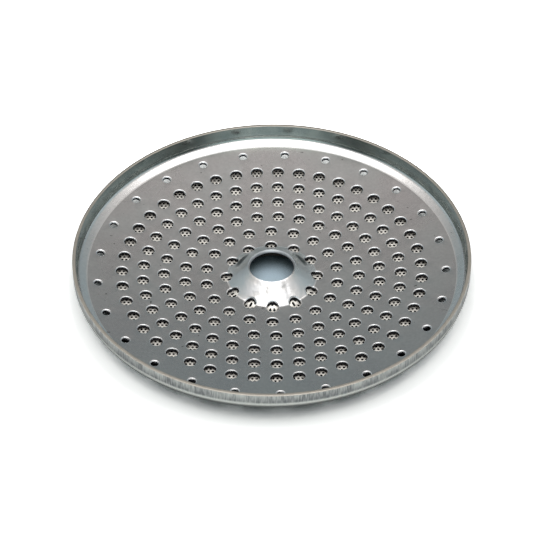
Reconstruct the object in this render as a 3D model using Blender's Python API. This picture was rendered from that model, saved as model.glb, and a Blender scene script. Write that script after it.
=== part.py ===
"""Espresso shower screen: a pressed and perforated steel plate with a fine foil under it.

Metres, +Z up. The origin is on the screen's axis, on the surface that the screen stands on.
Both sheets start as a flat blank of rings and punched outlines, and are then formed:
a raised cone round the screw hole, a shallow dish, a sloping shoulder and an upright rim.
"""

import math

import bmesh
import bpy
from mathutils import Vector
from mathutils.geometry import delaunay_2d_cdt
import numpy as np

# The plate's outline
SCREEN_DIAMETER = 0.0565
RIM_PAST_LIP = 0.0024       # rim's edge above the cone's lip: its reach round the block that the lip meets
PLATE_SHEET = 0.0005
DISH_RADIUS = 0.188
SHOULDER_WIDTH = 0.00175    # from the end of the dish out to the rim's wall
SHOULDER_ANGLE = math.radians(22.0)
SHOULDER_BEND = 0.0010
CORNER_BEND = 0.0010
EDGE_BREAK = 0.0001

# The cone that the fixing screw pulls on
SCREW_HOLE_DIAMETER = 0.0063
CONE_ANGLE = math.radians(36.0)
CONE_FOOT_RADIUS = 0.00645
CONE_FILLET = 0.0005

# The rings of perforations, inner ring first
FIRST_RING_RADIUS = 0.00645
RING_PITCH = 0.002985
FIRST_RING_PITCHES = 2      # a ring this many pitches out holds one hole for each pitch round it
PERFORATION_DIAMETER = 0.00178
RING_STARTS = (-89.5, -90.0, -87.8, -88.1, -88.4, -88.8)

# The ring of small holes beside the shoulder, past the edge of the foil
SMALL_HOLE_COUNT = 25
SMALL_HOLE_DIAMETER = 0.00138
SMALL_HOLE_SETBACK = 0.0012
SMALL_HOLE_START = -87.8

# The foil that follows the plate's underside
FOIL_SHEET = 0.0002
FOIL_GAP = 0.0004
FOIL_LAP = 0.0005           # least width of foil past the perforations, at both of its edges
FOIL_TO_SMALL_HOLES = 0.00085

# Facets
CONE_STEPS = 2
BEND_STEPS = 2
CORNER_STEPS = 3
CONE_SIDES = 36
DISH_SIDES = 48
RIM_SIDES = 60
PERFORATION_SIDES = 9
SMALL_HOLE_SIDES = 8

# Sizes that follow
RIM_OUTER_RADIUS = SCREEN_DIAMETER / 2
RIM_INNER_RADIUS = RIM_OUTER_RADIUS - PLATE_SHEET
DISH_EDGE_RADIUS = RIM_INNER_RADIUS - SHOULDER_WIDTH
SCREW_HOLE_RADIUS = SCREW_HOLE_DIAMETER / 2
SMALL_HOLE_RING_RADIUS = DISH_EDGE_RADIUS - SMALL_HOLE_SETBACK
FOIL_OUTER_RADIUS = SMALL_HOLE_RING_RADIUS - SMALL_HOLE_DIAMETER / 2 - FOIL_TO_SMALL_HOLES
FOIL_PAST_RING = PERFORATION_DIAMETER / 2 + FOIL_LAP
RING_COUNT = 1 + int((FOIL_OUTER_RADIUS - FOIL_PAST_RING - FIRST_RING_RADIUS) / RING_PITCH)
FOIL_INNER_RADIUS = FIRST_RING_RADIUS - FOIL_PAST_RING
FOIL_TOP_DEPTH = PLATE_SHEET + FOIL_GAP
FOIL_BOTTOM_DEPTH = FOIL_TOP_DEPTH + FOIL_SHEET


def clear_scene():
    for obj in list(bpy.data.objects):
        bpy.data.objects.remove(obj, do_unlink=True)


def steel(name, color, roughness):
    material = bpy.data.materials.new(name)
    material.use_nodes = True
    shader = material.node_tree.nodes["Principled BSDF"]
    shader.inputs["Base Color"].default_value = (*color, 1.0)
    shader.inputs["Metallic"].default_value = 1.0
    shader.inputs["Roughness"].default_value = roughness
    return material


def bend(start, radius, tilt, steps):
    """Stations round an arc. A station is the top face's radius, height and tilt from level."""
    r, z, first = start
    stations = []
    for i in range(1, steps + 1):
        angle = first + (tilt - first) * i / steps
        across = radius * (math.sin(angle) - math.sin(first))
        up = radius * (math.cos(first) - math.cos(angle))
        stations.append((r + across, z + up, angle))
    return stations


def dish(r):
    tilt = math.asin(r / DISH_RADIUS)
    return (r, DISH_RADIUS * (1 - math.cos(tilt)), tilt)


def cone_stations():
    """From the screw hole's lip down to the foot of the cone."""
    fillet = bend(dish(CONE_FOOT_RADIUS), CONE_FILLET, -CONE_ANGLE, CONE_STEPS)
    r, z, tilt = fillet[-1]
    lip = SCREW_HOLE_RADIUS
    slope = math.tan(CONE_ANGLE)
    straight = [(x, z + (r - x) * slope, tilt) for x in (lip, lip + EDGE_BREAK)]
    return straight + fillet[::-1]


def dish_stations():
    """Circles that clear the perforations: between every second pair of rings, and at the foil's edge."""
    between = [FIRST_RING_RADIUS + (i + 0.5) * RING_PITCH for i in range(1, RING_COUNT - 1, 2)]
    circles = [CONE_FOOT_RADIUS] + between + [FOIL_OUTER_RADIUS, DISH_EDGE_RADIUS]
    return [dish(r) for r in circles]


def rim_stations():
    """From the end of the dish up the shoulder, round the corner and up the wall to its edge."""
    shoulder = bend(dish(DISH_EDGE_RADIUS), SHOULDER_BEND, SHOULDER_ANGLE, BEND_STEPS)
    r, z, tilt = shoulder[-1]
    corner_r = RIM_INNER_RADIUS - CORNER_BEND * (1 - math.sin(SHOULDER_ANGLE))
    corner_z = z + (corner_r - r) * math.tan(SHOULDER_ANGLE)
    corner_start = (corner_r, corner_z, tilt)
    corner = bend(corner_start, CORNER_BEND, math.pi / 2, CORNER_STEPS)
    lip_z = cone_stations()[0][1]
    edge_z = lip_z + RIM_PAST_LIP
    wall = [(RIM_INNER_RADIUS, z, math.pi / 2) for z in (edge_z - EDGE_BREAK, edge_z)]
    return shoulder + [corner_start] + corner + wall


def blank_radii(stations):
    """The radius of each station on the flat blank: plan radius over the dish, and path length past it."""
    radii = []
    for i, (r, z, tilt) in enumerate(stations):
        if r <= DISH_EDGE_RADIUS:
            radii.append(r)
        else:
            last_r, last_z, _ = stations[i - 1]
            radii.append(radii[-1] + math.hypot(r - last_r, z - last_z))
    return radii


def below(station, depth):
    """The point at a depth in the sheet, square to its top face."""
    r, z, tilt = station
    return (r + depth * math.sin(tilt), z - depth * math.cos(tilt))


def straight_below(station, depth):
    """The same depth, reached by going straight down, as a pierced hole's wall does."""
    r, z, tilt = station
    return (r, z - depth / math.cos(tilt))


def plate_sections(stations):
    """Top and underside point at each station. The screw hole's wall is upright; both edges are broken."""
    sections = [[below(station, 0.0), below(station, PLATE_SHEET)] for station in stations]
    for i in (0, 1):
        sections[i] = [straight_below(stations[i], 0.0), straight_below(stations[i], PLATE_SHEET)]
    lip_top, lip_under = sections[0]
    sections[0] = [(lip_top[0], lip_top[1] - EDGE_BREAK), (lip_under[0], lip_under[1] + EDGE_BREAK)]
    rim_top, rim_under = sections[-1]
    sections[-1] = [(rim_top[0] + EDGE_BREAK, rim_top[1]), (rim_under[0] - EDGE_BREAK, rim_under[1])]
    return sections


def circle_points(center, radius, sides, first_angle=0.0):
    angles = [first_angle + math.tau * i / sides for i in range(sides)]
    return [center + radius * Vector((math.cos(a), math.sin(a))) for a in angles]


def hole_ring(ring_radius, count, start, diameter, sides):
    """Outlines of one ring of holes, as (center, radius, sides, angle), the first hole at start degrees."""
    outlines = []
    for i in range(count):
        angle = math.radians(start) + math.tau * i / count
        center = ring_radius * Vector((math.cos(angle), math.sin(angle)))
        outlines.append((center, diameter / 2, sides, angle))
    return outlines


def plate_holes():
    outlines = []
    for i in range(RING_COUNT):
        radius = FIRST_RING_RADIUS + i * RING_PITCH
        count = int(math.tau * (FIRST_RING_PITCHES + i))
        start = RING_STARTS[min(i, len(RING_STARTS) - 1)]
        outlines += hole_ring(radius, count, start, PERFORATION_DIAMETER, PERFORATION_SIDES)
    outlines += hole_ring(
        SMALL_HOLE_RING_RADIUS, SMALL_HOLE_COUNT, SMALL_HOLE_START, SMALL_HOLE_DIAMETER, SMALL_HOLE_SIDES
    )
    return outlines


def sides_at(r):
    if r <= CONE_FOOT_RADIUS:
        return CONE_SIDES
    return DISH_SIDES if r < FOIL_OUTER_RADIUS else RIM_SIDES


def is_cut_out(point, openings):
    """Whether a point lies inside any of the many-sided openings."""
    for center, radius, sides, first_angle in openings:
        offset = point - center
        if offset.length < radius:
            sector = math.tau / sides
            angle = (math.atan2(offset.y, offset.x) - first_angle) % sector - sector / 2
            if offset.length * math.cos(angle) < radius * math.cos(sector / 2):
                return True
    return False


def flat_blank(ring_radii, ring_sides, holes):
    """Triangles of the flat blank between its first and last ring, outside every hole."""
    origin = Vector((0.0, 0.0))
    points = []
    edges = []
    loops = [circle_points(origin, r, sides) for r, sides in zip(ring_radii, ring_sides)]
    loops += [circle_points(*hole) for hole in holes]
    for loop in loops:
        first = len(points)
        points += loop
        edges += [(first + i, first + (i + 1) % len(loop)) for i in range(len(loop))]
    verts, _, faces, *_ = delaunay_2d_cdt(points, edges, [], 0, 1e-9)

    openings = [(origin, ring_radii[0], ring_sides[0], 0.0)] + holes
    kept = []
    for face in faces:
        middle = sum((verts[i] for i in face), origin) / len(face)
        if not is_cut_out(middle, openings):
            kept.append(face)
    return verts, kept


def form_sheet(name, material, ring_radii, ring_sides, sections, holes):
    """Press the blank to its section: every blank radius has a top and an underside point."""
    verts, faces = flat_blank(ring_radii, ring_sides, holes)
    table = np.array(sections)
    bm = bmesh.new()
    layers = []
    for layer in (0, 1):
        formed = []
        for vert in verts:
            reach = vert.length
            r = np.interp(reach, ring_radii, table[:, layer, 0])
            z = np.interp(reach, ring_radii, table[:, layer, 1])
            formed.append(bm.verts.new((vert.x * r / reach, vert.y * r / reach, z)))
        layers.append(formed)
    top, under = layers
    for face in faces:
        bm.faces.new([top[i] for i in face])
        bm.faces.new([under[i] for i in reversed(face)])
    across = {vert: under[i] for i, vert in enumerate(top)}
    for edge in [e for e in bm.edges if e.is_boundary and e.verts[0] in across]:
        a, b = edge.verts
        bm.faces.new([a, b, across[b], across[a]])
    bmesh.ops.delete(bm, geom=[v for v in bm.verts if not v.link_faces], context="VERTS")
    bmesh.ops.recalc_face_normals(bm, faces=bm.faces)

    mesh = bpy.data.meshes.new(name)
    bm.to_mesh(mesh)
    bm.free()
    mesh.materials.append(material)
    mesh.shade_smooth()
    mesh.set_sharp_from_angle(angle=math.radians(30.0))
    obj = bpy.data.objects.new(name, mesh)
    bpy.context.collection.objects.link(obj)
    return obj


def make_plate():
    stations = cone_stations() + dish_stations() + rim_stations()
    ring_sides = [sides_at(r) for r, _, _ in stations]
    sections = plate_sections(stations)
    steel_plate = steel("plate_steel", (0.58, 0.57, 0.56), 0.28)
    return form_sheet(
        "pressed_plate", steel_plate, blank_radii(stations), ring_sides, sections, plate_holes()
    )


def make_foil():
    stations = cone_stations() + dish_stations()
    radii = [r for r, _, _ in stations]
    edge = FOIL_INNER_RADIUS
    inner = (
        edge,
        float(np.interp(edge, radii, [z for _, z, _ in stations])),
        float(np.interp(edge, radii, [tilt for _, _, tilt in stations])),
    )
    followed = [inner] + [s for s in stations if edge + FOIL_SHEET < s[0] <= FOIL_OUTER_RADIUS]
    sections = [[below(s, FOIL_TOP_DEPTH), below(s, FOIL_BOTTOM_DEPTH)] for s in followed]
    ring_sides = [DISH_SIDES] * len(followed)
    steel_foil = steel("foil_steel", (0.66, 0.65, 0.62), 0.34)
    return form_sheet("filter_foil", steel_foil, [s[0] for s in followed], ring_sides, sections, [])


def stand_on_foil(pieces, foil):
    """Raise the screen until the lowest circle of the foil is at height zero."""
    lowest = min(vert.co.z for vert in foil.data.vertices)
    for piece in pieces:
        piece.location.z = -lowest


def main():
    clear_scene()
    plate = make_plate()
    foil = make_foil()
    stand_on_foil([plate, foil], foil)


main()
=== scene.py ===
"""Looks of the espresso shower screen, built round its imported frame. Metres, +Z up."""

import math

import bmesh
import bpy
from mathutils import Matrix, Vector
from mathutils.geometry import delaunay_2d_cdt
from mathutils.kdtree import KDTree
import numpy as np


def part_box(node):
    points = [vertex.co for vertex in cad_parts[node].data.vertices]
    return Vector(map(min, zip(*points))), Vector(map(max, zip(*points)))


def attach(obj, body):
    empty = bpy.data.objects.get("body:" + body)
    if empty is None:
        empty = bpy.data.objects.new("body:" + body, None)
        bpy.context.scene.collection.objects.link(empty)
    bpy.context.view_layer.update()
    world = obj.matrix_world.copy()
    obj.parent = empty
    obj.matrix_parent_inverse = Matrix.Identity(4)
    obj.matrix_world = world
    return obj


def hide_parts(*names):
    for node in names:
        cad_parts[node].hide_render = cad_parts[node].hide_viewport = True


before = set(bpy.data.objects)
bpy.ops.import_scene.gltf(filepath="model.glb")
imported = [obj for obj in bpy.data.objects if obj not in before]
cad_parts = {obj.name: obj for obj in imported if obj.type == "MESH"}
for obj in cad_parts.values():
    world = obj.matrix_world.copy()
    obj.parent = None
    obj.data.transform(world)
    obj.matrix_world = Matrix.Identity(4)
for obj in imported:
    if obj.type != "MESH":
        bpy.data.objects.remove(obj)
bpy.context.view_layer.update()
PLATE_LOW, PLATE_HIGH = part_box("pressed_plate")

# The plate's section
PLATE_SHEET = 0.0005
DISH_RADIUS = 0.188
SHOULDER_WIDTH = 0.00150
SHOULDER_ANGLE = math.radians(24.5)
SHOULDER_BEND = 0.0010
CORNER_BEND = 0.0010
EDGE_ROUND = 0.0001
LIP_FACE = (0.00020, 0.00034)    # width and fall of the cut face at the cone's lip
LIP_STEPS = ((0.0, 1.0), (0.35, 0.64), (0.82, 0.16), (1.0, 0.03), (1.25, 0.0))    # shares of both
SCREW_HOLE_RADIUS = 0.00315
CONE_ANGLE = math.radians(36.0)
CONE_FOOT_RADIUS = 0.00645
CONE_FILLET = 0.0005
DENTS = (    # angle and half width in degrees, place between foot and lip, half length, depth
    (-102.0, 5.0, 0.45, 0.35, 0.00010),
    (-62.0, 4.5, 0.60, 0.22, 0.00009),
    (152.0, 18.0, 0.40, 0.18, 0.00013),
    (28.0, 18.0, 0.40, 0.18, 0.00013),
)
FLANK_REFLECTION_TURN = (0.54, 0.30)           # middle and half width of the painted dark reflections, radians
FLANK_REFLECTION_REACH = (0.00500, 0.00056)    # middle and half width out from the axis

# The holes
FIRST_RING_RADIUS = 0.00645
RING_PITCH = 0.002985
FIRST_RING_PITCHES = 2
RING_STARTS = (-89.5, -90.0, -87.8, -88.1, -88.4, -88.8)
PERFORATION_DIAMETER = 0.00169
SMALL_HOLE_COUNT = 25
SMALL_HOLE_DIAMETER = 0.00106
SMALL_HOLE_SETBACK = 0.00145
SMALL_HOLE_START = -87.8
PUNCH_ROUND = 0.00012             # rounding where the punch entered the sheet
SMALL_PUNCH_ROUND = 0.00018
PUNCH_TILT = math.radians(66.0)
PUNCH_STEPS = (1.0, 0.74, 0.5, 0.3, 0.14, 0.0)    # shares of that tilt, from the neck outward
BURNISHED = (0.00004, 0.00015)    # taper and depth of the bright zone below the rounding

# The foil and its fine holes
FOIL_SHEET = 0.0002
FOIL_GAP = 0.0004
FOIL_CROWN = 0.00030              # rise towards the plate between the foil's edges
FOIL_EDGE = 0.00154               # from the ring of small holes in to the foil's outer edge
FOIL_LAP = 0.00139                # from the first ring in to the foil's inner edge
FINE_PITCH = 0.00057
FINE_HOLE_DIAMETER = 0.00039

# Facets
RIM_SIDES = 240
DISH_SIDES = 120
CONE_SIDES = 144
CONE_BANDS = 12
PERFORATION_SIDES = 28
SMALL_HOLE_SIDES = 20
FINE_HOLE_SIDES = 6
FILLET_STEPS = 6
SHOULDER_STEPS = 5
CORNER_STEPS = 10
EDGE_STEPS = 5
INNER_WALL_STEP = 3               # step of the corner where the inner wall's metal begins
SHARP_ANGLE = math.radians(50.0)
MERGE_DISTANCE = 1e-9
TOUCH = 1e-7                      # radii closer than this are one radius
LEAST_ROUNDING = 1e-6             # the top is part of a hole's rounding from this depth

# Order of the metals on each piece
(
    FACE, SHADED_TORN_WALL, DRAWN_WALL, CUT_EDGE, CONE, SHADED_UNDERSIDE, BURNISHED_EDGE, INNER_WALL, WORN_LIP, SHOULDER,
) = range(10)
FOIL_FACE, SHADED_FINE_WALL, SHADED_FOIL_MARGIN = range(3)

# Sizes that follow
RIM_OUTER_RADIUS = PLATE_HIGH[0]
RIM_EDGE_Z = PLATE_HIGH[2]
RIM_INNER_RADIUS = RIM_OUTER_RADIUS - PLATE_SHEET
DISH_EDGE_RADIUS = RIM_INNER_RADIUS - SHOULDER_WIDTH
SMALL_HOLE_RING_RADIUS = DISH_EDGE_RADIUS - SMALL_HOLE_SETBACK
FOIL_OUTER_RADIUS = SMALL_HOLE_RING_RADIUS - FOIL_EDGE
FOIL_INNER_RADIUS = FIRST_RING_RADIUS - FOIL_LAP
FOIL_TOP_DEPTH = PLATE_SHEET + FOIL_GAP
FOOT_TILT = math.asin(CONE_FOOT_RADIUS / DISH_RADIUS)
FOOT_RISE = DISH_RADIUS * (1 - math.cos(FOOT_TILT))
DISH_LEVEL = PLATE_LOW[2] + PLATE_SHEET * math.cos(FOOT_TILT) - FOOT_RISE
CONE_SLOPE = math.tan(CONE_ANGLE)
CONE_DROP = PLATE_SHEET / math.cos(CONE_ANGLE)
LIP_END_RADIUS = SCREW_HOLE_RADIUS + LIP_FACE[0]
FOIL_MARGIN_RADIUS = FIRST_RING_RADIUS - PERFORATION_DIAMETER / 2 - PUNCH_ROUND * 2

# The camera, at the photograph's viewing angle
VIEW_ELEVATION = math.radians(43.15)
VIEW_ROLL = -0.0120
VIEW_DISTANCE = 0.3713
VIEW_TARGET = Vector((-0.00075, 0.00217, DISH_LEVEL))
VIEW_LENS = 174.7
SENSOR_WIDTH = 36.0
VIEW_NEAR = 0.01

# The light
SOFTBOX_HEIGHT = 0.60
SOFTBOX_WIDTH = 0.66
SOFTBOX_FRONT = -0.31
SOFTBOX_BACK = 0.18
SOFTBOX_LEVEL = 1.2
SOFTBOX_POWER = 4.0               # watts per square metre at level 1

# The floor's tone for a view: painted shade by how open a place is, painted shadow by how far it lies out,
# and painted light by how far out behind
FLOOR_SIZE = 4.0
FLOOR_LEVEL = -0.00002
PAPER = (0.80, 0.80, 0.80, 1.0)
GLOSSY_SHARE = 0.4
SHADE_SAMPLES = 8
SHADE_REACH = 0.020
SHADE_STOPS = (
    (0.03, (0.038, 0.054, 0.050, 1.0)),
    (0.10, (0.328, 0.351, 0.346, 1.0)),
    (0.18, (0.585, 0.608, 0.597, 1.0)),
    (0.30, (1.48, 1.49, 1.48, 1.0)),
    (0.42, (1.70, 1.70, 1.68, 1.0)),
    (0.55, (1.61, 1.64, 1.61, 1.0)),
    (0.63, (1.75, 1.75, 1.75, 1.0)),
    (0.72, (2.22, 2.22, 2.22, 1.0)),
    (0.85, (3.39, 3.39, 3.39, 1.0)),
)
BENEATH_REACH = 0.032
# painted shadow under and around the object, by distance from the axis
PAINTED_SHADOW_STOPS = (
    (0.280, (0.30, 0.38, 0.44, 1.0)),
    (0.375, (0.02, 0.02, 0.02, 1.0)),
    (0.750, (0.02, 0.02, 0.02, 1.0)),
    (0.769, (0.40, 0.40, 0.40, 1.0)),
    (0.790, (0.75, 0.75, 0.75, 1.0)),
    (0.818, (1.0, 1.0, 1.0, 1.0)),
    (0.853, (1.0, 1.0, 1.0, 1.0)),
    (0.881, (0.90, 0.90, 0.90, 1.0)),
    (0.905, (0.82, 0.82, 0.82, 1.0)),
    (0.940, (0.86, 0.86, 0.86, 1.0)),
    (0.998, (1.0, 1.0, 1.0, 1.0)),
)
PAINTED_LIGHT_SPAN = (0.012, 0.022)
# painted light in a ring under the rim behind the object
PAINTED_LIGHT_STOPS = (
    (0.790, (1.0, 1.0, 1.0, 1.0)),
    (0.820, (1.3, 1.3, 1.3, 1.0)),
    (0.870, (1.3, 1.3, 1.3, 1.0)),
    (0.885, (1.0, 1.0, 1.0, 1.0)),
)

# The studio that metal reflects: its level by direction, and its colours from the horizon up
BEHIND_FADE = (0.10, -0.30)
LOW_SIDE = 0.4
HIGH_SIDE = 0.08
SIDE_STEP = (0.50, 0.62)
ACROSS_FADE = (0.80, 0.93)
ACROSS_SHARE = 1.6
FRONT_FADE = (0.78, 0.92)
FRONT_SHARE = 3.2
BACKDROP_STOPS = (
    (0.02, (0.04, 0.05, 0.055, 1.0)),
    (0.14, (0.08, 0.09, 0.10, 1.0)),
    (0.28, (0.36, 0.40, 0.415, 1.0)),
    (0.47, (0.19, 0.255, 0.275, 1.0)),
    (0.69, (0.33, 0.325, 0.315, 1.0)),
    (0.87, (0.72, 0.68, 0.66, 1.0)),
    (0.93, (1.00, 0.98, 0.96, 1.0)),
    (0.965, (0.05, 0.05, 0.05, 1.0)),
)

# The metals: tints, roughness spans, each noise's scale and detail, and the height of the relief
WHITE = (1.0, 1.0, 1.0)
WIDE_NOISE = (0.3, 0.7)
MIDDLE_NOISE = (0.35, 0.65)

PLATE_TINTS = ((0.62, 0.60, 0.60), (0.57, 0.58, 0.575))
# brighter copy of the plate's tints: a painted highlight on the shoulder
SHOULDER_HIGHLIGHT_TINTS = ((0.90, 0.89, 0.88), (0.87, 0.88, 0.88))
PLATE_EVEN_ROUGHNESS = 0.27
PLATE_ROUGHNESS = (0.24, 0.31)
PLATE_STAIN = (140.0, 4.0)
PLATE_GRAIN = (5200.0, 3.0)
PLATE_LINES = (1.0, 3.0)
PLATE_LINE_STRETCH = (260.0, 9000.0, 260.0)
PLATE_LINE_SHARE = 0.4
PLATE_MOTTLE = (2300.0, 3.0)
MOTTLE_TONE = (0.90, 0.90, 0.90)
PLATE_SPECKS = (1300.0, 1.0)
SPECK_SPAN = (0.76, 0.80)
SPECK_TONE = (0.45, 0.45, 0.44)
PLATE_RELIEF = 0.0000045

CONE_COLOR = (0.80, 0.795, 0.79)
CONE_TINTS = ((0.82, 0.81, 0.79), (0.78, 0.795, 0.81))
CONE_EVEN_ROUGHNESS = 0.30
CONE_ROUGHNESS = (0.27, 0.35)
CONE_STAIN = (420.0, 3.0)
# Spread and tone of the painted dark reflections on the cone's flanks
CONE_REFLECTION_SPAN = (0.25, 1.3)
CONE_PAINTED_REFLECTION_TONE = (0.10, 0.12, 0.12)
CONE_RELIEF = 0.00012

# Painted shade on the plate's face over the foil
UNDERSIDE_SHADE_COLOR = (0.22, 0.20, 0.18)
UNDERSIDE_SHADE_TINTS = ((0.26, 0.24, 0.21), (0.16, 0.14, 0.12))
HIDDEN_ROUGHNESS = 0.5
HIDDEN_STAIN = (900.0, 4.0)
HIDDEN_RELIEF = 0.00002

DRAWN_COLOR = (0.60, 0.59, 0.58)
# Outer wall's lighter tint, and the dark one for scratches and painted shade
DRAWN_TINTS = ((0.52, 0.55, 0.52), (0.15, 0.16, 0.165))
DRAWN_EVEN_ROUGHNESS = 0.35
DRAWN_ROUGHNESS = (0.24, 0.42)
DRAWN_STRETCH = 0.12              # share of the height that the scratches' noise follows
DRAWN_SCRATCHES = (5200.0, 5.0)
DRAWN_PATCHES = (900.0, 2.0)
DRAWN_PATCH_SHARE = (0.40, 0.62, 0.82, 1.12)
DRAWN_SCRATCH_SHARE = (0.34, 0.66, 0.0, 0.6)
DRAWN_UPPER = (0.00415, 0.00450, 0.0, 1.0)       # two heights, and the share of scratches and painted shade at each
DRAWN_SHADE_FALL = (0.00440, 0.00570, 0.62, 0.26)     # two heights, and the painted shade at each, darker towards the bottom
DRAWN_CORNER_SHADE = (0.00368, 0.00395, 0.80, 0.0)      # two heights, and the corner's painted shade at each
DRAWN_RELIEF = 0.00003

INNER_COLOR = (0.40, 0.42, 0.40)
INNER_TINTS = ((0.44, 0.47, 0.43), (0.32, 0.36, 0.34))
INNER_EVEN_ROUGHNESS = 0.20
INNER_ROUGHNESS = (0.17, 0.23)
INNER_STAIN = (500.0, 4.0)
INNER_GRAIN = (6000.0, 3.0)
INNER_STRETCH = (1.0, 1.0, 0.15)
INNER_RELIEF = 0.000004

# Metals of one grain: colour, even roughness, then noise, its stretch, roughness span and relief
SHEARED = ((9000.0, 3.0), (1.0, 1.0, 0.3), (0.42, 0.60), 0.000006)
GRAINED_METALS = {
    # near black: painted shade on the walls of the punched holes
    "shaded_torn_wall": ((0.03, 0.03, 0.035), 0.5, *SHEARED),
    "cut_edge": ((0.56, 0.52, 0.46), 0.42, (1500.0, 4.0), None, (0.34, 0.52), 0.00002),
    "burnished_edge": ((0.94, 0.94, 0.95), 0.24, (6000.0, 3.0), None, (0.24, 0.38), 0.000004),
    "worn_lip": ((0.94, 0.94, 0.95), 0.40, (6000.0, 3.0), None, (0.40, 0.55), 0.000004),
    "foil_steel": ((1.0, 0.98, 0.92), 0.5, (7000.0, 3.0), None, (0.46, 0.60), 0.00002),
    # near black: painted shade on the walls of the fine holes
    "shaded_fine_wall": ((0.03, 0.027, 0.024), 0.5, *SHEARED),
    # dark: painted shade on the foil's margin under the cone
    "shaded_foil_margin": ((0.10, 0.10, 0.09), 0.5, *SHEARED),
}


# Section

def dish(r):
    """Station on the dish: the top face's radius, height and tilt from level."""
    tilt = math.asin(r / DISH_RADIUS)
    return (r, DISH_LEVEL + DISH_RADIUS * (1 - math.cos(tilt)), tilt)


def bend(start, radius, tilt, steps):
    """Stations after start on a bend of the given radius, up to a new tilt."""
    r, z, first = start
    stations = []
    for i in range(1, steps + 1):
        angle = first + (tilt - first) * i / steps
        across = radius * (math.sin(angle) - math.sin(first))
        up = radius * (math.cos(first) - math.cos(angle))
        stations.append((r + across, z + up, angle))
    return stations


def below(station, depth):
    """Point under a station, square to the sheet."""
    r, z, tilt = station
    return (r + depth * math.sin(tilt), z - depth * math.cos(tilt))


def edge_rounding():
    """The rim's rounded edge as pairs: still to go to its end, and in from the face."""
    for i in range(1, EDGE_STEPS + 1):
        angle = math.pi / 2 * i / EDGE_STEPS
        yield EDGE_ROUND * (1 - math.sin(angle)), EDGE_ROUND * (1 - math.cos(angle))


def fillet_stations():
    """Stations of the fillet at the cone's foot, from the cone outward, without the foot itself."""
    return bend(dish(CONE_FOOT_RADIUS), CONE_FILLET, -CONE_ANGLE, FILLET_STEPS)[::-1]


def dish_circles():
    """Radii of the cone's foot and of the circles halfway between the rings of holes."""
    between = [FIRST_RING_RADIUS + (i + 0.5) * RING_PITCH for i in range(len(RING_STARTS) - 1)]
    return [CONE_FOOT_RADIUS] + between


def lip_rows(fillet_end):
    """Rows of the cone beside the screw hole, whose cut face stands square to the raised sheet."""
    r0, z0, _ = fillet_end
    width, fall = LIP_FACE
    face_fall = fall + width * CONE_SLOPE
    rows = []
    for share, cut in LIP_STEPS:
        r = SCREW_HOLE_RADIUS + width * share
        z = z0 + (r0 - r) * CONE_SLOPE
        rows.append((r, (r, z - face_fall * cut), (r, z - CONE_DROP)))
    return rows


def cone_rows(lip_end, fillet_end):
    """Rows of the cone between its lip and its fillet."""
    r0, z0, _ = fillet_end
    rows = []
    for i in range(1, CONE_BANDS):
        r = lip_end + (r0 - lip_end) * i / CONE_BANDS
        z = z0 + (r0 - r) * CONE_SLOPE
        rows.append((r, (r, z), (r, z - CONE_DROP)))
    return rows


def sheet_row(station, blank):
    """Row whose underside lies a sheet's thickness below its station."""
    return (blank, below(station, 0.0), below(station, PLATE_SHEET))


def plate_rows():
    """Rows (blank radius, top point, underside point) from the screw hole's lip to the rim's edge."""
    fillet = fillet_stations()
    rows = lip_rows(fillet[0])
    rows += cone_rows(rows[-1][0], fillet[0])
    circles = dish_circles() + [FOIL_OUTER_RADIUS, DISH_EDGE_RADIUS]
    rows += [sheet_row(s, s[0]) for s in fillet + [dish(r) for r in circles]]

    shoulder = bend(dish(DISH_EDGE_RADIUS), SHOULDER_BEND, SHOULDER_ANGLE, SHOULDER_STEPS)
    r, z, tilt = shoulder[-1]
    corner_r = RIM_INNER_RADIUS - CORNER_BEND * (1 - math.sin(SHOULDER_ANGLE))
    corner_start = (corner_r, z + (corner_r - r) * math.tan(SHOULDER_ANGLE), tilt)
    corner = bend(corner_start, CORNER_BEND, math.pi / 2, CORNER_STEPS)
    wall_top = (RIM_INNER_RADIUS, RIM_EDGE_Z - EDGE_ROUND, math.pi / 2)
    blank = DISH_EDGE_RADIUS
    last = dish(DISH_EDGE_RADIUS)
    for station in shoulder + [corner_start] + corner + [wall_top]:
        blank += math.hypot(station[0] - last[0], station[1] - last[1])
        rows.append(sheet_row(station, blank))
        last = station
    for along, cut in edge_rounding():
        z = RIM_EDGE_Z - along
        edge_blank = blank + EDGE_ROUND - along
        rows.append((edge_blank, (RIM_INNER_RADIUS + cut, z), (RIM_OUTER_RADIUS - cut, z)))
    return rows


def foil_rows():
    """Rows of the foil, which follows the plate's underside and rises towards it between its edges."""
    fillet = fillet_stations()
    r, z, tilt = fillet[0]
    inner = (FOIL_INNER_RADIUS, z + (r - FOIL_INNER_RADIUS) * CONE_SLOPE, tilt)
    stations = [inner] + fillet + [dish(c) for c in dish_circles() + [FOIL_OUTER_RADIUS]]
    rows = []
    for i, s in enumerate(stations):
        top = FOIL_TOP_DEPTH - (FOIL_CROWN if 0 < i < len(stations) - 1 else 0.0)
        rows.append((s[0], below(s, top), below(s, FOIL_TOP_DEPTH + FOIL_SHEET)))
    return rows


# Blank

def circle(center, radius, sides):
    """Points of a many-sided circle on the blank."""
    angles = math.tau * np.arange(sides) / sides
    return np.column_stack((center[0] + radius * np.cos(angles), center[1] + radius * np.sin(angles)))


def ring_of_holes(ring_radius, count, start, radius):
    """Holes (x, y, radius), evenly round the axis from a starting angle in degrees."""
    angles = math.radians(start) + math.tau * np.arange(count) / count
    return [(ring_radius * math.cos(a), ring_radius * math.sin(a), radius) for a in angles]


def plate_holes():
    """The rings of perforations, then the ring of small holes beside the shoulder."""
    holes = []
    for i, start in enumerate(RING_STARTS):
        count = int(math.tau * (FIRST_RING_PITCHES + i))
        radius = FIRST_RING_RADIUS + i * RING_PITCH
        holes += ring_of_holes(radius, count, start, PERFORATION_DIAMETER / 2)
    holes += ring_of_holes(
        SMALL_HOLE_RING_RADIUS, SMALL_HOLE_COUNT, SMALL_HOLE_START, SMALL_HOLE_DIAMETER / 2
    )
    return holes


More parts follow.
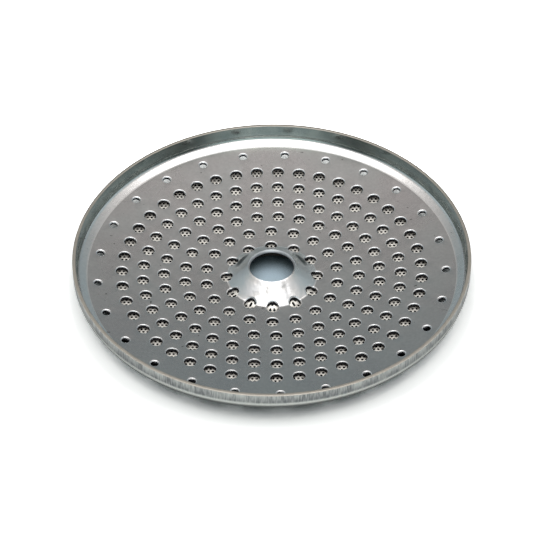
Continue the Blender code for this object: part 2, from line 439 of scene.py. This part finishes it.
def fine_holes():
    """The foil's fine holes, on a lattice of triangles clear of both edges."""
    row_step = FINE_PITCH * math.sqrt(3) / 2
    margin = FINE_HOLE_DIAMETER
    rows = int(FOIL_OUTER_RADIUS / row_step)
    columns = int(FOIL_OUTER_RADIUS / FINE_PITCH) + 1
    holes = []
    for j in range(-rows, rows + 1):
        y = j * row_step
        shift = FINE_PITCH / 2 * (j % 2)
        for i in range(-columns, columns + 1):
            x = i * FINE_PITCH + shift
            reach = math.hypot(x, y)
            if FOIL_INNER_RADIUS + margin < reach < FOIL_OUTER_RADIUS - margin:
                holes.append((x, y, FINE_HOLE_DIAMETER / 2))
    return holes


def triangulate(loops, hole_tree, hole_radii, hole_cosines):
    """Triangles of the blank outside its holes and outside its first loop."""
    points = np.concatenate(loops)
    edges = []
    start = 0
    for loop in loops:
        index = np.arange(len(loop))
        edges += np.column_stack((start + index, start + (index + 1) % len(loop))).tolist()
        start += len(loop)
    verts, _, faces, *_ = delaunay_2d_cdt([Vector(p) for p in points], edges, [], 0, MERGE_DISTANCE)
    flat = np.array(verts)
    inner = np.hypot(*loops[0].T).mean() * math.cos(math.pi / len(loops[0]))
    kept = []
    for face in faces:
        x, y = flat[list(face)].mean(axis=0)
        if math.hypot(x, y) < inner:
            continue
        _, i, distance = hole_tree.find((x, y, 0.0))
        if distance > hole_radii[i] * hole_cosines[i]:
            kept.append(face)
    return flat, kept


def hole_index(holes):
    """Tree that finds the hole nearest to a point of the blank."""
    tree = KDTree(len(holes))
    for i, (x, y, _) in enumerate(holes):
        tree.insert((x, y, 0.0), i)
    tree.balance()
    return tree


def form(name, rows, flat, faces, roll_depth, press, zone):
    """Press the blank to its rows and join its two faces along every open edge.

    At each point of the blank, press lowers both faces and roll_depth lowers the top face alone.
    zone gives a face's metal from its side, its least blank radius and its least roll_depth.
    """
    blank = np.array([row[0] for row in rows])
    table = np.array([[row[1], row[2]] for row in rows])
    reach = np.hypot(flat[:, 0], flat[:, 1])
    unit = flat / reach[:, None]
    bm = bmesh.new()
    layers = []
    for layer in (0, 1):
        r = np.interp(reach, blank, table[:, layer, 0])
        z = np.interp(reach, blank, table[:, layer, 1])
        z = z - press - (roll_depth if layer == 0 else 0.0)
        formed = np.column_stack((unit * r[:, None], z))
        layers.append([bm.verts.new(co) for co in formed.tolist()])
    top, under = layers
    for face in faces:
        upper = bm.faces.new([top[i] for i in face])
        lower = bm.faces.new([under[i] for i in reversed(face)])
        corners = list(face)
        least = reach[corners].min()
        upper.material_index = zone("top", least, roll_depth[corners].min())
        lower.material_index = zone("under", least, 0.0)
    across = {vert: (under[i], reach[i]) for i, vert in enumerate(top)}
    for edge in [e for e in bm.edges if e.is_boundary and e.verts[0] in across]:
        a, b = edge.verts
        wall = bm.faces.new([a, b, across[b][0], across[a][0]])
        wall.material_index = zone("wall", min(across[a][1], across[b][1]), 0.0)
    bmesh.ops.delete(bm, geom=[v for v in bm.verts if not v.link_faces], context="VERTS")
    bmesh.ops.recalc_face_normals(bm, faces=bm.faces)
    mesh = bpy.data.meshes.new(name)
    bm.to_mesh(mesh)
    bm.free()
    mesh.shade_smooth()
    mesh.set_sharp_from_angle(angle=SHARP_ANGLE)
    obj = bpy.data.objects.new(name, mesh)
    bpy.context.collection.objects.link(obj)
    weighted = obj.modifiers.new("weighted_normal", "WEIGHTED_NORMAL")
    weighted.keep_sharp = True
    return obj


def dented(flat, reach):
    """How far the forming tool's marks press the cone in, at each point of the blank."""
    angle = np.degrees(np.arctan2(flat[:, 1], flat[:, 0]))
    place = (CONE_FOOT_RADIUS - reach) / (CONE_FOOT_RADIUS - SCREW_HOLE_RADIUS)
    depth = np.zeros(len(flat))
    for middle, width, share, length, deep in DENTS:
        turn = (angle - middle + 180.0) % 360.0 - 180.0
        depth += deep * np.exp(-((turn / width) ** 2) - ((place - share) / length) ** 2)
    return np.where(place > 0.0, depth, 0.0)


def punched_profile(roundness):
    """A hole's edge as pairs: distance out from its neck, and depth below the sheet's top."""
    taper, depth = BURNISHED
    profile = [(0.0, depth + roundness - PUNCH_ROUND)]
    for share in PUNCH_STEPS:
        tilt = PUNCH_TILT * share
        out = taper + roundness * (math.sin(PUNCH_TILT) - math.sin(tilt))
        profile.append((out, roundness * (1 - math.cos(tilt))))
    return profile


def make_plate():
    """The pressed plate with its punched holes."""
    rows = plate_rows()
    holes = plate_holes()
    tree = hole_index(holes)
    radii = [hole[2] for hole in holes]
    sides = []
    profiles = []
    for radius in radii:
        large = radius > SMALL_HOLE_DIAMETER / 2
        sides.append(PERFORATION_SIDES if large else SMALL_HOLE_SIDES)
        profiles.append(punched_profile(PUNCH_ROUND if large else SMALL_PUNCH_ROUND))
    loops = []
    for reach, _, _ in rows:
        count = CONE_SIDES if reach <= CONE_FOOT_RADIUS else DISH_SIDES
        loops.append(circle((0.0, 0.0), reach, RIM_SIDES if reach > FOIL_OUTER_RADIUS else count))
    for (x, y, radius), count, profile in zip(holes, sides, profiles):
        for offset, _ in profile:
            loops.append(circle((x, y), radius + offset, count))
    cosines = [math.cos(math.pi / count) for count in sides]
    flat, faces = triangulate(loops, tree, radii, cosines)
    depth = []
    for x, y in flat:
        _, i, distance = tree.find((x, y, 0.0))
        offsets, depths = np.array(profiles[i]).T
        depth.append(np.interp(distance - radii[i], offsets, depths))
    press = dented(flat, np.hypot(flat[:, 0], flat[:, 1]))
    depth = np.array(depth)
    wall_top = len(rows) - 1 - EDGE_STEPS
    corner = wall_top - CORNER_STEPS
    rim_edge = rows[wall_top][0] - TOUCH
    outer_wall = rows[corner][0] - TOUCH
    inner_wall = rows[corner + INNER_WALL_STEP][0] - TOUCH

    def zone(side, least, sunk):
        if least >= rim_edge:
            return CUT_EDGE
        if side == "wall":
            return WORN_LIP if least < LIP_END_RADIUS - TOUCH else SHADED_TORN_WALL
        if side == "under":
            if least >= outer_wall:
                return DRAWN_WALL
            return SHADED_UNDERSIDE if least < FOIL_OUTER_RADIUS - TOUCH else FACE
        if least < LIP_END_RADIUS - TOUCH:
            return WORN_LIP
        if sunk > LEAST_ROUNDING:
            return BURNISHED_EDGE
        if least >= inner_wall:
            return INNER_WALL
        if least >= DISH_EDGE_RADIUS - TOUCH:
            return SHOULDER
        return CONE if least < CONE_FOOT_RADIUS - TOUCH else FACE

    return form("plate_dressed", rows, flat, faces, depth, press, zone)


def foil_zone(side, least, _):
    """Walls of the fine holes and a margin inside the first ring dark with painted shade, and bright faces.
    """
    if side == "wall":
        return SHADED_FINE_WALL
    return SHADED_FOIL_MARGIN if least < FOIL_MARGIN_RADIUS else FOIL_FACE


def make_foil():
    """The foil under the plate with its fine holes."""
    rows = foil_rows()
    holes = fine_holes()
    loops = [circle((0.0, 0.0), row[0], DISH_SIDES) for row in rows]
    loops += [circle((x, y), radius, FINE_HOLE_SIDES) for x, y, radius in holes]
    radii = [hole[2] for hole in holes]
    cosines = [math.cos(math.pi / FINE_HOLE_SIDES)] * len(holes)
    flat, faces = triangulate(loops, hole_index(holes), radii, cosines)
    level = np.zeros(len(flat))
    return form("foil_dressed", rows, flat, faces, level, level, foil_zone)


# Materials

def new_metal(name, color, roughness):
    """Metal of one colour and one roughness; gives the material, its tree and its shader."""
    material = bpy.data.materials.new(name)
    material.use_nodes = True
    shader = material.node_tree.nodes["Principled BSDF"]
    shader.inputs["Base Color"].default_value = (*color, 1.0)
    shader.inputs["Metallic"].default_value = 1.0
    shader.inputs["Roughness"].default_value = roughness
    return material, material.node_tree, shader


def feed(tree, socket, value):
    """Give a socket a number, or link another socket to it."""
    if isinstance(value, (int, float)):
        socket.default_value = value
    else:
        tree.links.new(value, socket)


def math_node(tree, operation, *values):
    """Math node whose inputs are numbers or sockets; gives its output."""
    node = tree.nodes.new("ShaderNodeMath")
    node.operation = operation
    for socket, value in zip(node.inputs, values):
        feed(tree, socket, value)
    return node.outputs[0]


def object_place(tree):
    return tree.nodes.new("ShaderNodeTexCoord").outputs["Object"]


def split(tree, place):
    """The three parts of a place."""
    node = tree.nodes.new("ShaderNodeSeparateXYZ")
    tree.links.new(place, node.inputs[0])
    return node.outputs["X"], node.outputs["Y"], node.outputs["Z"]


def from_axis(tree, x, y):
    """Distance from the upright axis."""
    squares = [math_node(tree, "MULTIPLY", part, part) for part in (x, y)]
    return math_node(tree, "SQRT", math_node(tree, "ADD", *squares))


def scaled(tree, place, scale):
    node = tree.nodes.new("ShaderNodeMapping")
    node.inputs["Scale"].default_value = scale
    tree.links.new(place, node.inputs["Vector"])
    return node.outputs[0]


def noise(tree, place, scale, detail):
    node = tree.nodes.new("ShaderNodeTexNoise")
    node.inputs["Scale"].default_value = scale
    node.inputs["Detail"].default_value = detail
    tree.links.new(place, node.inputs["Vector"])
    return node.outputs[0]


def spread(tree, value, low, high, to_low=0.0, to_high=1.0):
    """Map a value's range from low and high to the two new ends, and hold it beyond them."""
    node = tree.nodes.new("ShaderNodeMapRange")
    for name, number in (("From Min", low), ("From Max", high), ("To Min", to_low), ("To Max", to_high)):
        node.inputs[name].default_value = number
    tree.links.new(value, node.inputs["Value"])
    return node.outputs[0]


def blended(tree, factor, first, second):
    """Number between first and second, which are numbers or sockets."""
    node = tree.nodes.new("ShaderNodeMix")
    feed(tree, node.inputs[2], first)
    feed(tree, node.inputs[3], second)
    tree.links.new(factor, node.inputs[0])
    return node.outputs[0]


def ramp(tree, value, stops):
    """Colour ramp; its first and last stops hold beyond their places."""
    node = tree.nodes.new("ShaderNodeValToRGB")
    elements = node.color_ramp.elements
    elements.remove(elements[1])
    elements[0].position, elements[0].color = stops[0]
    for position, color in stops[1:]:
        elements.new(position).color = color
    tree.links.new(value, node.inputs[0])
    return node.outputs[0]


def tinted(tree, factor, first, second):
    """Colour between two fixed tints."""
    node = tree.nodes.new("ShaderNodeMix")
    node.data_type = "RGBA"
    node.inputs[6].default_value = (*first, 1.0)
    node.inputs[7].default_value = (*second, 1.0)
    tree.links.new(factor, node.inputs[0])
    return node.outputs[2]


def multiplied(tree, first, second):
    """Product of two colours."""
    node = tree.nodes.new("ShaderNodeMix")
    node.data_type = "RGBA"
    node.blend_type = "MULTIPLY"
    node.inputs[0].default_value = 1.0
    tree.links.new(first, node.inputs[6])
    tree.links.new(second, node.inputs[7])
    return node.outputs[2]


def bumped(tree, shader, height, distance):
    """Relief on a shader, with the given height in metres."""
    node = tree.nodes.new("ShaderNodeBump")
    node.inputs["Strength"].default_value = 1.0
    node.inputs["Distance"].default_value = distance
    tree.links.new(height, node.inputs["Height"])
    tree.links.new(node.outputs[0], shader.inputs["Normal"])


def plate_metal(name, warm, cool):
    """Rolled sheet with a satin grain, faint stains and fine scratches."""
    material, tree, shader = new_metal(name, warm, PLATE_EVEN_ROUGHNESS)
    place = object_place(tree)
    stain = noise(tree, place, *PLATE_STAIN)
    grain = noise(tree, place, *PLATE_GRAIN)
    lines = noise(tree, scaled(tree, place, PLATE_LINE_STRETCH), *PLATE_LINES)
    tree.links.new(spread(tree, stain, *MIDDLE_NOISE, *PLATE_ROUGHNESS), shader.inputs["Roughness"])
    color = tinted(tree, spread(tree, stain, *WIDE_NOISE), warm, cool)
    mottling = spread(tree, noise(tree, place, *PLATE_MOTTLE), *WIDE_NOISE)
    mottle = tinted(tree, mottling, MOTTLE_TONE, WHITE)
    specking = spread(tree, noise(tree, place, *PLATE_SPECKS), *SPECK_SPAN)
    specks = tinted(tree, specking, WHITE, SPECK_TONE)
    color = multiplied(tree, color, multiplied(tree, mottle, specks))
    tree.links.new(color, shader.inputs["Base Color"])
    height = math_node(tree, "ADD", grain, math_node(tree, "MULTIPLY", lines, PLATE_LINE_SHARE))
    bumped(tree, shader, height, PLATE_RELIEF)
    return material


def grained_metal(name):
    """Metal of one colour whose roughness and relief follow one grain."""
    color, even_roughness, grain, stretch, roughness, relief = GRAINED_METALS[name]
    material, tree, shader = new_metal(name, color, even_roughness)
    place = object_place(tree)
    if stretch:
        place = scaled(tree, place, stretch)
    rough = noise(tree, place, *grain)
    tree.links.new(spread(tree, rough, *WIDE_NOISE, *roughness), shader.inputs["Roughness"])
    bumped(tree, shader, rough, relief)
    return material


def cone_metal():
    """Satin cone, dulled a little by stretching, with a painted dark reflection over the dent on each flank.
    """
    material, tree, shader = new_metal("cone_steel", CONE_COLOR, CONE_EVEN_ROUGHNESS)
    place = object_place(tree)
    stain = noise(tree, place, *CONE_STAIN)
    tree.links.new(spread(tree, stain, *MIDDLE_NOISE, *CONE_ROUGHNESS), shader.inputs["Roughness"])
    color = tinted(tree, spread(tree, stain, *WIDE_NOISE), *CONE_TINTS)
    x, y, _ = split(tree, place)
    aside = math_node(tree, "ABSOLUTE", x)
    around = math_node(tree, "ARCTAN2", y, aside)
    reach = from_axis(tree, x, y)
    offsets = []
    for value, middle, half in ((around, *FLANK_REFLECTION_TURN), (reach, *FLANK_REFLECTION_REACH)):
        offset = math_node(tree, "DIVIDE", math_node(tree, "SUBTRACT", value, middle), half)
        offsets.append(math_node(tree, "MULTIPLY", offset, offset))
    away = math_node(tree, "ADD", *offsets)
    # painted dark reflection on each flank, darkening the cone's colour there
    painted_reflection = spread(tree, away, *CONE_REFLECTION_SPAN, 1.0, 0.0)
    color = multiplied(tree, color, tinted(tree, painted_reflection, WHITE, CONE_PAINTED_REFLECTION_TONE))
    tree.links.new(color, shader.inputs["Base Color"])
    bumped(tree, shader, stain, CONE_RELIEF)
    return material


def shaded_underside_metal():
    """Face of the plate over the foil, darkened as painted shade between the two, with a faint stain."""
    material, tree, shader = new_metal("shaded_underside", UNDERSIDE_SHADE_COLOR, HIDDEN_ROUGHNESS)
    place = object_place(tree)
    stain = noise(tree, place, *HIDDEN_STAIN)
    color = tinted(tree, spread(tree, stain, *MIDDLE_NOISE), *UNDERSIDE_SHADE_TINTS)
    tree.links.new(color, shader.inputs["Base Color"])
    bumped(tree, shader, stain, HIDDEN_RELIEF)
    return material


def drawn_metal():
    """Outer wall of the rim: upright scratches from the die that drew it, painted shade darker towards the
    bottom, a lighter band above the corner as a painted highlight, and painted shade on the corner.
    """
    material, tree, shader = new_metal("drawn_wall", DRAWN_COLOR, DRAWN_EVEN_ROUGHNESS)
    place = object_place(tree)
    x, y, z = split(tree, place)
    around = math_node(tree, "ARCTAN2", y, x)
    flat = tree.nodes.new("ShaderNodeCombineXYZ")
    tree.links.new(math_node(tree, "MULTIPLY", around, RIM_OUTER_RADIUS), flat.inputs[0])
    tree.links.new(math_node(tree, "MULTIPLY", z, DRAWN_STRETCH), flat.inputs[1])
    fine = noise(tree, flat.outputs[0], *DRAWN_SCRATCHES)
    patches = noise(tree, flat.outputs[0], *DRAWN_PATCHES)
    scratch = math_node(tree, "MULTIPLY", fine, spread(tree, patches, *DRAWN_PATCH_SHARE))
    upper = spread(tree, z, *DRAWN_UPPER)
    under = spread(tree, z, *DRAWN_CORNER_SHADE)
    level = spread(tree, z, *DRAWN_SHADE_FALL)
    scratches_and_shade = math_node(tree, "ADD", level, spread(tree, scratch, *DRAWN_SCRATCH_SHARE))
    scratches_and_painted_shade = math_node(tree, "MAXIMUM", math_node(tree, "MULTIPLY", scratches_and_shade, upper), under)
    tree.links.new(spread(tree, scratches_and_painted_shade, 0.0, 1.0, *DRAWN_ROUGHNESS), shader.inputs["Roughness"])
    # colour goes dark with the scratches and the painted shade
    color = tinted(tree, scratches_and_painted_shade, *DRAWN_TINTS)
    tree.links.new(color, shader.inputs["Base Color"])
    bumped(tree, shader, math_node(tree, "MULTIPLY", fine, upper), DRAWN_RELIEF)
    return material


def wall_metal():
    """Inner wall of the rim, rubbed smooth by the punch that drew it."""
    material, tree, shader = new_metal("inner_wall", INNER_COLOR, INNER_EVEN_ROUGHNESS)
    place = object_place(tree)
    stain = noise(tree, place, *INNER_STAIN)
    fine = noise(tree, scaled(tree, place, INNER_STRETCH), *INNER_GRAIN)
    tree.links.new(spread(tree, stain, *MIDDLE_NOISE, *INNER_ROUGHNESS), shader.inputs["Roughness"])
    color = tinted(tree, spread(tree, stain, *WIDE_NOISE), *INNER_TINTS)
    tree.links.new(color, shader.inputs["Base Color"])
    bumped(tree, shader, fine, INNER_RELIEF)
    return material


# Stage

def add_floor():
    """White paper. Its tone for a view is set from listed stops; it lights the object as plain paper."""
    bpy.ops.mesh.primitive_plane_add(size=FLOOR_SIZE, location=(0.0, 0.0, FLOOR_LEVEL))
    floor = bpy.context.object
    floor.name = "floor"
    material = bpy.data.materials.new("floor")
    material.use_nodes = True
    tree = material.node_tree
    tree.nodes.clear()
    output = tree.nodes.new("ShaderNodeOutputMaterial")
    path = tree.nodes.new("ShaderNodeLightPath")
    open_sky = tree.nodes.new("ShaderNodeAmbientOcclusion")
    open_sky.samples = SHADE_SAMPLES
    open_sky.inputs["Distance"].default_value = SHADE_REACH
    length = tree.nodes.new("ShaderNodeVectorMath")
    length.operation = "LENGTH"
    tree.links.new(object_place(tree), length.inputs[0])
    reach = math_node(tree, "DIVIDE", length.outputs["Value"], BENEATH_REACH)
    painted_shadow = ramp(tree, reach, PAINTED_SHADOW_STOPS)
    _, y, _ = split(tree, object_place(tree))
    behind = spread(tree, y, *PAINTED_LIGHT_SPAN)
    painted_light = blended(tree, behind, 1.0, ramp(tree, reach, PAINTED_LIGHT_STOPS))
    # painted shade and shadow darken the paper as seen, and a ring behind is lightened
    tone = multiplied(tree, ramp(tree, open_sky.outputs["AO"], SHADE_STOPS), painted_shadow)
    tone = multiplied(tree, tone, painted_light)
    straight = math_node(tree, "MAXIMUM", path.outputs["Is Camera Ray"], path.outputs["Is Transmission Ray"])
    level = multiplied(tree, tone, tinted(tree, straight, (GLOSSY_SHARE,) * 3, WHITE))
    seen = math_node(tree, "MAXIMUM", straight, path.outputs["Is Glossy Ray"])
    mix = tree.nodes.new("ShaderNodeMix")
    mix.data_type = "RGBA"
    mix.inputs[6].default_value = PAPER
    tree.links.new(level, mix.inputs[7])
    tree.links.new(seen, mix.inputs[0])
    paper = tree.nodes.new("ShaderNodeBsdfDiffuse")
    tree.links.new(mix.outputs[2], paper.inputs["Color"])
    tree.links.new(paper.outputs[0], output.inputs["Surface"])
    floor.data.materials.append(material)


def add_world():
    """White to the camera; to metal a grey studio, dark low down, overhead and on most of three sides."""
    world = bpy.data.worlds.new("studio")
    bpy.context.scene.world = world
    world.use_nodes = True
    tree = world.node_tree
    tree.nodes.clear()
    output = tree.nodes.new("ShaderNodeOutputWorld")
    coords = tree.nodes.new("ShaderNodeTexCoord")
    x, y, z = split(tree, coords.outputs["Generated"])
    backdrop = ramp(tree, z, BACKDROP_STOPS)
    level = from_axis(tree, x, y)
    ahead = math_node(tree, "DIVIDE", math_node(tree, "MULTIPLY", y, -1.0), level)
    side = spread(tree, z, *SIDE_STEP, LOW_SIDE, HIGH_SIDE)
    behind = spread(tree, ahead, *BEHIND_FADE)
    front = spread(tree, ahead, *FRONT_FADE)
    share = blended(tree, behind, side, 1.0)
    share = blended(tree, front, share, FRONT_SHARE)
    beside = math_node(tree, "DIVIDE", math_node(tree, "ABSOLUTE", x), level)
    share = blended(tree, spread(tree, beside, *ACROSS_FADE), share, ACROSS_SHARE)
    studio = tree.nodes.new("ShaderNodeBackground")
    tree.links.new(backdrop, studio.inputs["Color"])
    tree.links.new(share, studio.inputs["Strength"])
    white = tree.nodes.new("ShaderNodeBackground")
    white.inputs["Color"].default_value = (*WHITE, 1.0)
    path = tree.nodes.new("ShaderNodeLightPath")
    mix = tree.nodes.new("ShaderNodeMixShader")
    tree.links.new(path.outputs["Is Camera Ray"], mix.inputs[0])
    tree.links.new(studio.outputs[0], mix.inputs[1])
    tree.links.new(white.outputs[0], mix.inputs[2])
    tree.links.new(mix.outputs[0], output.inputs["Surface"])


def add_softbox():
    """One wide lamp overhead, mostly in front of the object."""
    data = bpy.data.lights.new("softbox", "AREA")
    data.shape = "RECTANGLE"
    data.size = SOFTBOX_WIDTH
    data.size_y = SOFTBOX_BACK - SOFTBOX_FRONT
    data.energy = SOFTBOX_POWER * SOFTBOX_LEVEL * data.size * data.size_y
    lamp = bpy.data.objects.new("softbox", data)
    lamp.location = (0.0, (SOFTBOX_BACK + SOFTBOX_FRONT) / 2, SOFTBOX_HEIGHT)
    bpy.context.collection.objects.link(lamp)


def add_camera():
    """The photograph's view."""
    data = bpy.data.cameras.new("camera")
    data.sensor_width = SENSOR_WIDTH
    data.lens = VIEW_LENS
    data.clip_start = VIEW_NEAR
    camera = bpy.data.objects.new("camera", data)
    back = Vector((0.0, -math.cos(VIEW_ELEVATION), math.sin(VIEW_ELEVATION)))
    turn = Matrix.Rotation(math.pi / 2 - VIEW_ELEVATION, 4, "X") @ Matrix.Rotation(VIEW_ROLL, 4, "Z")
    camera.matrix_world = Matrix.Translation(VIEW_TARGET + VIEW_DISTANCE * back) @ turn
    bpy.context.collection.objects.link(camera)
    bpy.context.scene.camera = camera


bpy.context.scene.view_settings.view_transform = "Standard"
add_camera()
add_world()
add_softbox()
add_floor()

plate = make_plate()
plate_metals = (
    plate_metal("plate_steel", *PLATE_TINTS),
    grained_metal("shaded_torn_wall"),
    drawn_metal(),
    grained_metal("cut_edge"),
    cone_metal(),
    shaded_underside_metal(),
    grained_metal("burnished_edge"),
    wall_metal(),
    grained_metal("worn_lip"),
    # plate steel made brighter on the shoulder, as a painted highlight
    plate_metal("shoulder_highlight", *SHOULDER_HIGHLIGHT_TINTS),
)
for made in plate_metals:
    plate.data.materials.append(made)
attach(plate, "root")
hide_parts("pressed_plate")

foil = make_foil()
for name in ("foil_steel", "shaded_fine_wall", "shaded_foil_margin"):
    foil.data.materials.append(grained_metal(name))
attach(foil, "root")
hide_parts("filter_foil")
